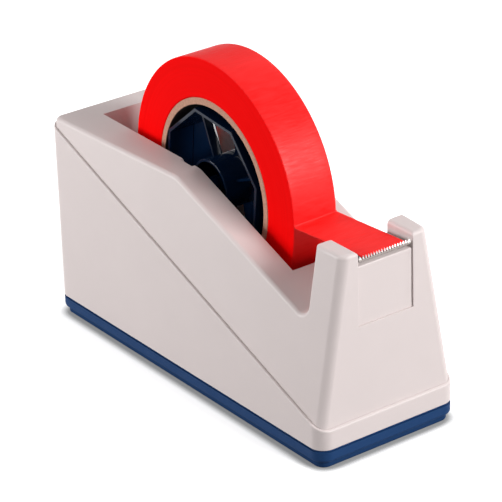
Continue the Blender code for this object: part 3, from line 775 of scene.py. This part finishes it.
def give(made, look, body, slot, *nodes):
    """Material and body of a piece, and hiding of the CAD nodes that it stands for; slot is not
    used.
    """
    made.data.materials.clear()
    made.data.materials.append(look)
    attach(made, body)
    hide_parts(*nodes)


def all_at(edge, height):
    """True if the whole edge lies at one height."""
    return all(abs(vert.co.z - height) < 1e-6 for vert in edge.verts)


def base_tray():
    """Tray with a rounded lower edge, cups for the screws and a thin upper edge."""
    made = slab("base_tray_shell", rounded(rectangle(BODY_HALF, BODY_HALF_Y, CORNER_RADIUS), 12),
                TRAY_LOW.z, TRAY_HIGH.z)
    made = bevel_edges(made, lambda edge: all_at(edge, TRAY_LOW.z), TRAY_EDGE_RADIUS, 6)
    beyond = rounded(rectangle(BODY_HALF + OVERSHOOT, BODY_HALF_Y + OVERSHOOT), 1)
    kept = rounded(rectangle(BODY_HALF - REBATE_INSET, BODY_HALF_Y - REBATE_INSET,
                             CORNER_RADIUS - REBATE_INSET), 12)
    rebate = plate("rebate", [beyond, kept], REBATE_HEIGHT, (0, 0, TRAY_HIGH.z))
    made = combine(made, [("DIFFERENCE", rebate)])
    inside = rounded(rectangle(BODY_HALF - WALL, BODY_HALF_Y - WALL, CORNER_RADIUS - WALL), 8)
    every_screw = HOUSING_SCREWS + BALLAST_SCREWS
    made = combine(made, [
        ("DIFFERENCE", slab("inside", inside, TRAY_LOW.z + TRAY_FLOOR, 0.020)),
        ("UNION", cylinders("cups", CUP_RADIUS, TRAY_LOW.z + 0.001, TRAY_HIGH.z - CUP_BELOW_RIM,
                            every_screw)),
        ("DIFFERENCE", cylinders("heads", HEAD_HOLE, 0.0, PAD_HIGH.z + HEAD_RECESS,
                                 every_screw)),
        ("DIFFERENCE", cylinders("shanks", SCREW_HOLE, 0.001, 0.020, every_screw)),
    ])
    return shade(made)


def anti_slip_pad():
    """Pad of firm foam with soft edges."""
    outline = rounded(rectangle(PAD_HIGH.x, PAD_HIGH.y, PAD_CORNER_RADIUS), 12)
    made = slab("foot_pad", outline, 0.0, PAD_HIGH.z)
    made = bevel_edges(made, lambda edge: all_at(edge, 0.0), PAD_LOWER_BEVEL, 4)
    made = bevel_edges(made, lambda edge: all_at(edge, PAD_HIGH.z), PAD_UPPER_BEVEL, 2)
    return shade(made)


def is_block_end_edge(edge):
    """True for the sharp outline of the block's two end faces."""
    return is_sharp(edge, 60) and edge.is_convex and any(
        abs(face.normal.y) > 0.9 for face in edge.link_faces)


def cutter_block():
    """Insert between the horns, with the front panel and the ledge under the blade."""
    low = BLOCK_LOW - BLOCK_FIT_LOW
    high = BLOCK_HIGH + BLOCK_FIT_HIGH
    outline = [
        (low.x, low.z, 0), (high.x, low.z, 0), (high.x, LEDGE_FRONT_Z, 0.0007),
        (high.x - LEDGE_DEPTH, LEDGE_REAR_Z, 0.0006),
        (high.x - LEDGE_DEPTH - 0.0004, high.z, 0.0005), (low.x, high.z, 0.0012),
    ]
    made = plate("cutter_insert", [rounded(outline, 6)], high.y - low.y, upright="XZ")
    made = bevel_edges(made, is_block_end_edge, BLOCK_BEVEL, 3)
    below = low.z - 0.003
    hollow = box("hollow", (low.x + BLOCK_WALL, low.y + BLOCK_WALL, below),
                 (high.x - BLOCK_WALL, high.y - BLOCK_WALL, BLOCK_CEILING))
    posts = cylinders("posts", BLOCK_POST_RADIUS, low.z, BLOCK_CEILING + OVERSHOOT, BLOCK_SCREWS)
    hollow = combine(hollow, [("DIFFERENCE", posts)])
    pilots = cylinders("pilots", SCREW_HOLE, below, BLOCK_PILOT_TOP, BLOCK_SCREWS)
    made = combine(made, [("DIFFERENCE", hollow), ("DIFFERENCE", pilots)])
    return shade(made)


def tooth_line(low, high, root):
    """Points (y, z) along the teeth, with a wide tooth at each end."""
    pitch = (high.y - low.y - 2 * END_TOOTH_WIDTH) / SMALL_TEETH
    points = [(high.y, root), (high.y - END_TOOTH_WIDTH * 0.35, high.z),
              (high.y - END_TOOTH_WIDTH, root)]
    for tooth in range(SMALL_TEETH):
        right = high.y - END_TOOTH_WIDTH - tooth * pitch
        points += [(right - pitch * 0.2, root), (right - pitch * 0.5, high.z - 0.00005),
                   (right - pitch * 0.8, root), (right - pitch, root)]
    return points + [(low.y + END_TOOTH_WIDTH * 0.35, high.z), (low.y, root)]


def cutter_blade():
    """Steel angle strip with triangular teeth."""
    low, high, thick = BLADE_LOW, BLADE_HIGH, BLADE_THICKNESS
    angle = [(low.x, low.z, 0), (high.x, low.z, BLADE_BEND_RADIUS), (high.x, high.z, 0),
             (high.x - thick, high.z, 0), (high.x - thick, low.z + thick, 0.0003),
             (low.x, low.z + thick, 0)]
    made = plate("serrated_blade", [rounded(angle, 6)], high.y - low.y, upright="XZ")
    root = high.z - BLADE_TOOTH
    past = 0.001
    mask = [(low.y - past, low.z - past), (high.y + past, low.z - past), (high.y + past, root)]
    mask += tooth_line(low, high, root) + [(low.y - past, root)]
    toothed = plate("mask", [mask], 0.040, ((low.x + high.x) / 2, 0, 0), upright="YZ")
    made = combine(made, [("INTERSECT", toothed)])
    made = bevel_edges(made, lambda edge: is_sharp(edge, 50), BLADE_BEVEL, 1)
    return shade(made, 40)


def lathe(name, profile, steps=256, wobble=None):
    """Ring about the axle from a closed (radius, y) profile; wobble(radius, y, angle) -> dy."""
    bm = bmesh.new()
    rings = []
    for step in range(steps):
        angle = math.tau * step / steps
        ring = []
        for radius, y in profile:
            shift = wobble(radius, y, angle) if wobble else 0.0
            ring.append(bm.verts.new((AXLE.x + radius * math.cos(angle), y + shift,
                                      AXLE.z + radius * math.sin(angle))))
        rings.append(ring)
    count = len(profile)
    for step in range(steps):
        here, there = rings[step], rings[(step + 1) % steps]
        for index in range(count):
            after = (index + 1) % count
            bm.faces.new((here[index], here[after], there[after], there[index]))
    bmesh.ops.recalc_face_normals(bm, faces=bm.faces)
    return object_from(name, bm)


def winding_dents(radius, y, angle):
    """Depth of the uneven layers at the side faces of the roll."""
    if abs(y) < TAPE_HALF - 0.002:
        return 0.0
    across, along = math.cos(angle), math.sin(angle)
    fine = 0.5 + 0.5 * noise.noise(Vector((radius * 900, 0.4 * across, 0.4 * along)))
    broad = 0.5 + 0.5 * noise.noise(Vector((radius * 160, across, along)))
    return -math.copysign(0.00010 * fine + 0.00022 * broad, y)


def tape_roll(side_look, tread_look):
    """Wound roll: rounded shoulders and side faces that aren't quite flat."""
    inner, shoulder_start = CORE_OUTER + 0.0001, TAPE_RADIUS - ROLL_SHOULDER
    turns = [math.radians(15 * step) for step in range(7)]
    shoulder = [(TAPE_RADIUS - ROLL_SHOULDER * (1 - math.sin(turn)),
                 TAPE_HALF - ROLL_SHOULDER * (1 - math.cos(turn))) for turn in turns]
    rows = 26
    side = [(inner + (shoulder_start - inner) * row / rows, TAPE_HALF) for row in range(rows)]
    profile = side + shoulder
    profile += [(TAPE_RADIUS, y * TAPE_HALF) for y in (0.6, 0.2, -0.2, -0.6)]
    profile += [(radius, -y) for radius, y in reversed(side + shoulder)]
    made = lathe("tape_winding", profile, 288, winding_dents)
    made.data.materials.append(side_look)
    made.data.materials.append(tread_look)
    for face in made.data.polygons:
        reach = math.hypot(face.center.x - AXLE.x, face.center.z - AXLE.z)
        face.material_index = 1 if reach > TAPE_RADIUS - ROLL_SHOULDER * 0.45 else 0
    made.data.shade_smooth()
    return made


def core_dents(radius, y, angle):
    """Depth of the crushed fibres at the edges of the core."""
    place = Vector((radius * 500, 6 * math.cos(angle), 6 * math.sin(angle)))
    return -math.copysign(0.00012 * abs(noise.noise(place)), y)


def tape_core():
    """Cardboard core with slightly crushed edges."""
    soft = CORE_SOFT_EDGE
    outer, inner, half = CORE_OUTER - 0.00002, CORE_INNER, TAPE_HALF
    profile = [(inner + soft, half), (outer - soft, half), (outer, half - soft),
               (outer, -half + soft), (outer - soft, -half), (inner + soft, -half),
               (inner, -half + soft), (inner, half - soft)]
    return shade(lathe("cardboard_core", profile, 192, core_dents), 40)


def octagon(vertex_radius):
    """Outline of the hub's eight-sided drum."""
    angles = [math.radians(HUB_VERTEX_DEGREES + 45 * side) for side in range(8)]
    return [Vector((vertex_radius * math.cos(a), vertex_radius * math.sin(a))) for a in angles]


def is_drum_rim(edge):
    """True for the sharp edges at the open end of the drum."""
    return is_sharp(edge, 60) and all(
        abs(abs(vert.co.y) - HUB_HALF) < 1e-5 for vert in edge.verts)


def hub_spoke(degrees, side):
    """Tapered spoke from the boss to the drum, at an angle about the axle."""
    section = [(-SPOKE_HALF, SPOKE_OUT), (SPOKE_HALF, SPOKE_OUT), (SPOKE_HALF, SPOKE_SHOULDER),
               (SPOKE_EDGE_HALF, SPOKE_IN), (-SPOKE_EDGE_HALF, SPOKE_IN),
               (-SPOKE_HALF, SPOKE_SHOULDER)]
    spoke = slab("spoke", [(across, side * depth) for across, depth in section],
                 BOSS_RADIUS - BOSS_WALL / 2, SPOKE_REACH)
    turn = Matrix.Rotation(math.radians(90 - degrees), 4, "Y")
    spoke.data.transform(Matrix.Translation(AXLE) @ turn)
    return spoke


def hub_half(name, side):
    """Half of the hub: eight-sided drum wall, tapered spokes, boss, web and bearing sleeve."""
    inner = HUB_VERTEX_RADIUS - HUB_WALL / math.cos(math.radians(22.5))
    low = GAP / 2
    place = (AXLE.x, side * (low + HUB_HALF) / 2, AXLE.z)
    made = plate(name, [octagon(HUB_VERTEX_RADIUS), octagon(inner)], HUB_HALF - low, place, "XZ")
    made = bevel_edges(made, is_drum_rim, HUB_RIM_BEVEL, 3)
    bore, tube, web = AXLE_RADIUS + GAP, BOSS_RADIUS - BOSS_WALL, low + WEB_THICKNESS
    profile = [(BOSS_RADIUS, BOSS_HALF), (BOSS_RADIUS, low), (bore, low), (bore, SLEEVE_HALF),
               (SLEEVE_RADIUS, SLEEVE_HALF), (SLEEVE_RADIUS, web), (tube, web), (tube, BOSS_HALF)]
    steps = [("UNION", lathe(name + "_boss", [(r, side * y) for r, y in profile], 64))]
    for number in range(4):
        degrees = HUB_VERTEX_DEGREES + 90 * number - side * SPOKE_TURN_DEGREES
        steps.append(("UNION", hub_spoke(degrees, side)))
    made = combine(made, steps)
    made = bevel_edges(made, lambda edge: is_sharp(edge, 50) and edge.is_convex, HUB_BEVEL, 2)
    return shade(made, 20)


def peel_line(bend):
    """Points (x, z) from inside the tread, round the peel bend and straight to the blade."""
    out = Vector((math.cos(PEEL_ANGLE), math.sin(PEEL_ANGLE)))
    down = Vector((out.y, -out.x))
    leave = Vector((AXLE.x, AXLE.z)) + (TAPE_RADIUS - PEEL_DEPTH) * out
    pivot = leave + out * bend
    forward = (LEADER_END - (pivot - Vector((0, bend)))).normalized()
    turn = math.acos(max(-1, min(1, down.dot(forward))))
    bend_rows = LEADER_ROWS // 3
    points = [pivot + turned(leave - pivot, turn * step / (bend_rows - 1))
              for step in range(bend_rows)]
    last = points[-1]
    rest = LEADER_ROWS - len(points) + 1
    return points + [last.lerp(LEADER_END, step / rest) for step in range(1, rest + 1)]


def leader_column(across):
    """Points of one lengthwise line of the leader; across is 0 at the near edge, 1 at the far."""
    y = TAPE_HALF * (2 * across - 1) * LEADER_WIDTH
    points = []
    for index, point in enumerate(peel_line(PEEL_BEND_NEAR - PEEL_BEND_LESS * across)):
        t = index / LEADER_ROWS
        fade = max(0, math.sin(math.pi * min(1, t * 1.25)))
        ripple = LEADER_RIPPLE * noise.noise(Vector((t * 9, across * 2.2, 3.1))) * fade
        tooth = 0.0
        if index == LEADER_ROWS:
            tooth = LEADER_ZIGZAG * abs(((across * 16) % 1) * 2 - 1)
        sag = LEADER_DIP * max(0, 1 - (LEADER_END.x - point.x) / LEADER_DIP_LENGTH) ** 2
        points.append((point.x - tooth, y, point.y + ripple - sag))
    return points


def tape_leader():
    """Strip from the roll to the blade: peel bend at the roll, slight waves, zigzag end."""
    bm = bmesh.new()
    grid = [[bm.verts.new(point) for point in leader_column(column / LEADER_COLUMNS)]
            for column in range(LEADER_COLUMNS + 1)]
    for left, right in zip(grid, grid[1:]):
        for index in range(LEADER_ROWS):
            bm.faces.new((left[index], right[index], right[index + 1], left[index + 1]))
    bmesh.ops.recalc_face_normals(bm, faces=bm.faces)
    made = object_from("tape_strip", bm)
    step = made.modifiers.new("thickness", "SOLIDIFY")
    step.thickness = LEADER_THICKNESS
    step.offset = 0
    made.data.shade_smooth()
    return made


# ---------------------------------------------------------------- studio

def camera():
    """Camera that looks towards the foot of the axle, moved aside and up by the two shifts."""
    a, e, r = CAMERA_AZIMUTH, CAMERA_ELEVATION, CAMERA_ROLL
    back = Vector((math.sin(a) * math.cos(e), -math.cos(a) * math.cos(e), math.sin(e)))
    right = Vector((math.cos(a), math.sin(a), 0))
    up = back.cross(right)
    across = right * math.cos(r) + up * math.sin(r)
    above = up * math.cos(r) - right * math.sin(r)
    data = bpy.data.cameras.new("camera")
    data.lens = CAMERA_LENS_MM
    data.clip_end = 20
    made = bpy.data.objects.new("camera", data)
    bpy.context.scene.collection.objects.link(made)
    base = Vector((AXLE.x, 0, 0))
    place = base + across * CAMERA_SHIFT_RIGHT + above * CAMERA_SHIFT_UP + back * CAMERA_DISTANCE
    facing = Matrix((across, above, back)).transposed()
    made.matrix_world = Matrix.Translation(place) @ facing.to_4x4()
    bpy.context.scene.camera = made


def area_light(name, place, aim, size, power):
    """Rectangular light panel that faces the point aim."""
    data = bpy.data.lights.new(name, "AREA")
    data.shape = "RECTANGLE"
    data.size, data.size_y = size
    data.energy = power
    made = bpy.data.objects.new(name, data)
    bpy.context.scene.collection.objects.link(made)
    made.location = place
    made.rotation_euler = (Vector(aim) - Vector(place)).to_track_quat("-Z", "Y").to_euler()


def sky():
    """White surroundings that are brighter high up than low down."""
    world = bpy.data.worlds.new("studio")
    bpy.context.scene.world = world
    world.use_nodes = True
    tree = world.node_tree
    light = tree.nodes["Background"]
    light.inputs["Color"].default_value = (1, 1, 1, 1)
    direction = add(tree, "ShaderNodeTexCoord").outputs["Generated"]
    parts = add(tree, "ShaderNodeSeparateXYZ", links={"Vector": direction})
    strength = ranged(tree, parts.outputs["Z"], SKY_LOW, SKY_HIGH, -0.2, 0.3)
    tree.links.new(strength, light.inputs["Strength"])


def floor_paper():
    """White paper that glows a little, with a painted contact shadow where something stands right
    on it.
    """
    made, tree, shader = new_material("floor_paper", (0.86, 0.86, 0.86), 0.8, specular=0.0)
    shader.inputs["Emission Color"].default_value = (1, 1, 1, 1)
    paper = noise_node(tree, place_in(tree), 30)
    tint = mixed(tree, paper, (0.85, 0.85, 0.85), (0.87, 0.87, 0.87))
    # Painted contact shadow: an occlusion mask darkens the paper and takes away its glow close to
    # the objects
    near = add(tree, "ShaderNodeAmbientOcclusion", {"Distance": CONTACT_SHADOW})
    outside_painted_shadow = ranged(tree, near.outputs["AO"], 0.30, 1, 0.5, 0.9)
    tree.links.new(mixed(tree, outside_painted_shadow, (0, 0, 0), tint), shader.inputs["Base Color"])
    glow = add(tree, "ShaderNodeMath", {1: FLOOR_GLOW}, {0: outside_painted_shadow}, operation="MULTIPLY")
    tree.links.new(glow.outputs[0], shader.inputs["Emission Strength"])
    return made


def studio():
    """Sky, floor and light panels."""
    sky()
    bm = bmesh.new()
    bmesh.ops.create_grid(bm, x_segments=2, y_segments=2, size=FLOOR_SIZE)
    floor = object_from("floor", bm)
    floor.location.z = -0.0001
    floor.data.materials.append(floor_paper())
    floor.visible_diffuse = False
    for panel in PANELS:
        area_light(*panel)


def dress_kept_nodes(zinc, iron, gloss):
    """Materials for the CAD nodes that stay: ballast, pin, spacers, screws and rivets."""
    # The axle spacers take the hub's dark plastic in place of their navy, as painted shade inside
    # the boss
    kept = {"ballast_rear": iron, "ballast_front": iron, "axle_pin": zinc,
            "axle_spacer_left": gloss, "axle_spacer_right": gloss}
    for name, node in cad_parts.items():
        look = kept.get(name)
        if look is None and ("screw_" in name or "rivet_" in name):
            look = zinc
        if look is not None:
            node.data.materials.clear()
            node.data.materials.append(look)


def build():
    """Camera, studio, materials and all the pieces."""
    camera()
    studio()
    beige = moulded("housing_plastic", BEIGE, 0.42)
    navy = moulded("tray_plastic", NAVY, 0.48, mottle=0.04, specular=0.06)
    rubber = moulded("pad_rubber", RUBBER, 0.60, grain=0.00008, mottle=0.08, specular=0.05)
    gloss = moulded("hub_gloss", HUB_BLUE, 0.10, grain=0.000003, mottle=0.1, specular=0.22)
    tread = tape_material("tape_tread", TREAD_LIGHT, TREAD_DARK, 0.00013, 0.26, 0.46)
    side = winding_material("tape_winding_side", SIDE_LIGHT, SIDE_DARK)
    strip = tape_material("tape_strip_face", STRIP_LIGHT, STRIP_DARK)
    card = card_material()
    steel = metal_material("blade_bright", BRIGHT_STEEL, 0.30, SATIN_STEEL_AND_SHADE,
                           BLADE_HIGH.z - BLADE_TOOTH + 0.0004)
    zinc = metal_material("screw_zinc", ZINC, 0.34)
    iron = cast_material()

    give(housing(), beige, "body", "beige_plastic", "housing")
    give(base_tray(), navy, "body", "navy_plastic", "base_tray")
    give(anti_slip_pad(), rubber, "body", "navy_rubber", "anti_slip_pad")
    give(cutter_block(), beige, "body", "beige_plastic", "cutter_block")
    give(cutter_blade(), steel, "body", "blade_steel", "cutter_blade")
    give(hub_half("hub_left", -1), gloss, "reel", "hub_plastic", "hub_half_left")
    give(hub_half("hub_right", 1), gloss, "reel", "hub_plastic", "hub_half_right")
    give(tape_core(), card, "reel", "core_card", "tape_core")
    roll = tape_roll(side, tread)
    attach(roll, "reel")
    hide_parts("tape_roll")
    give(tape_leader(), strip, "axle", "tape_red", "tape_leader")
    dress_kept_nodes(zinc, iron, gloss)


bpy.context.scene.view_settings.view_transform = "Standard"
build()
bpy.context.view_layer.update()
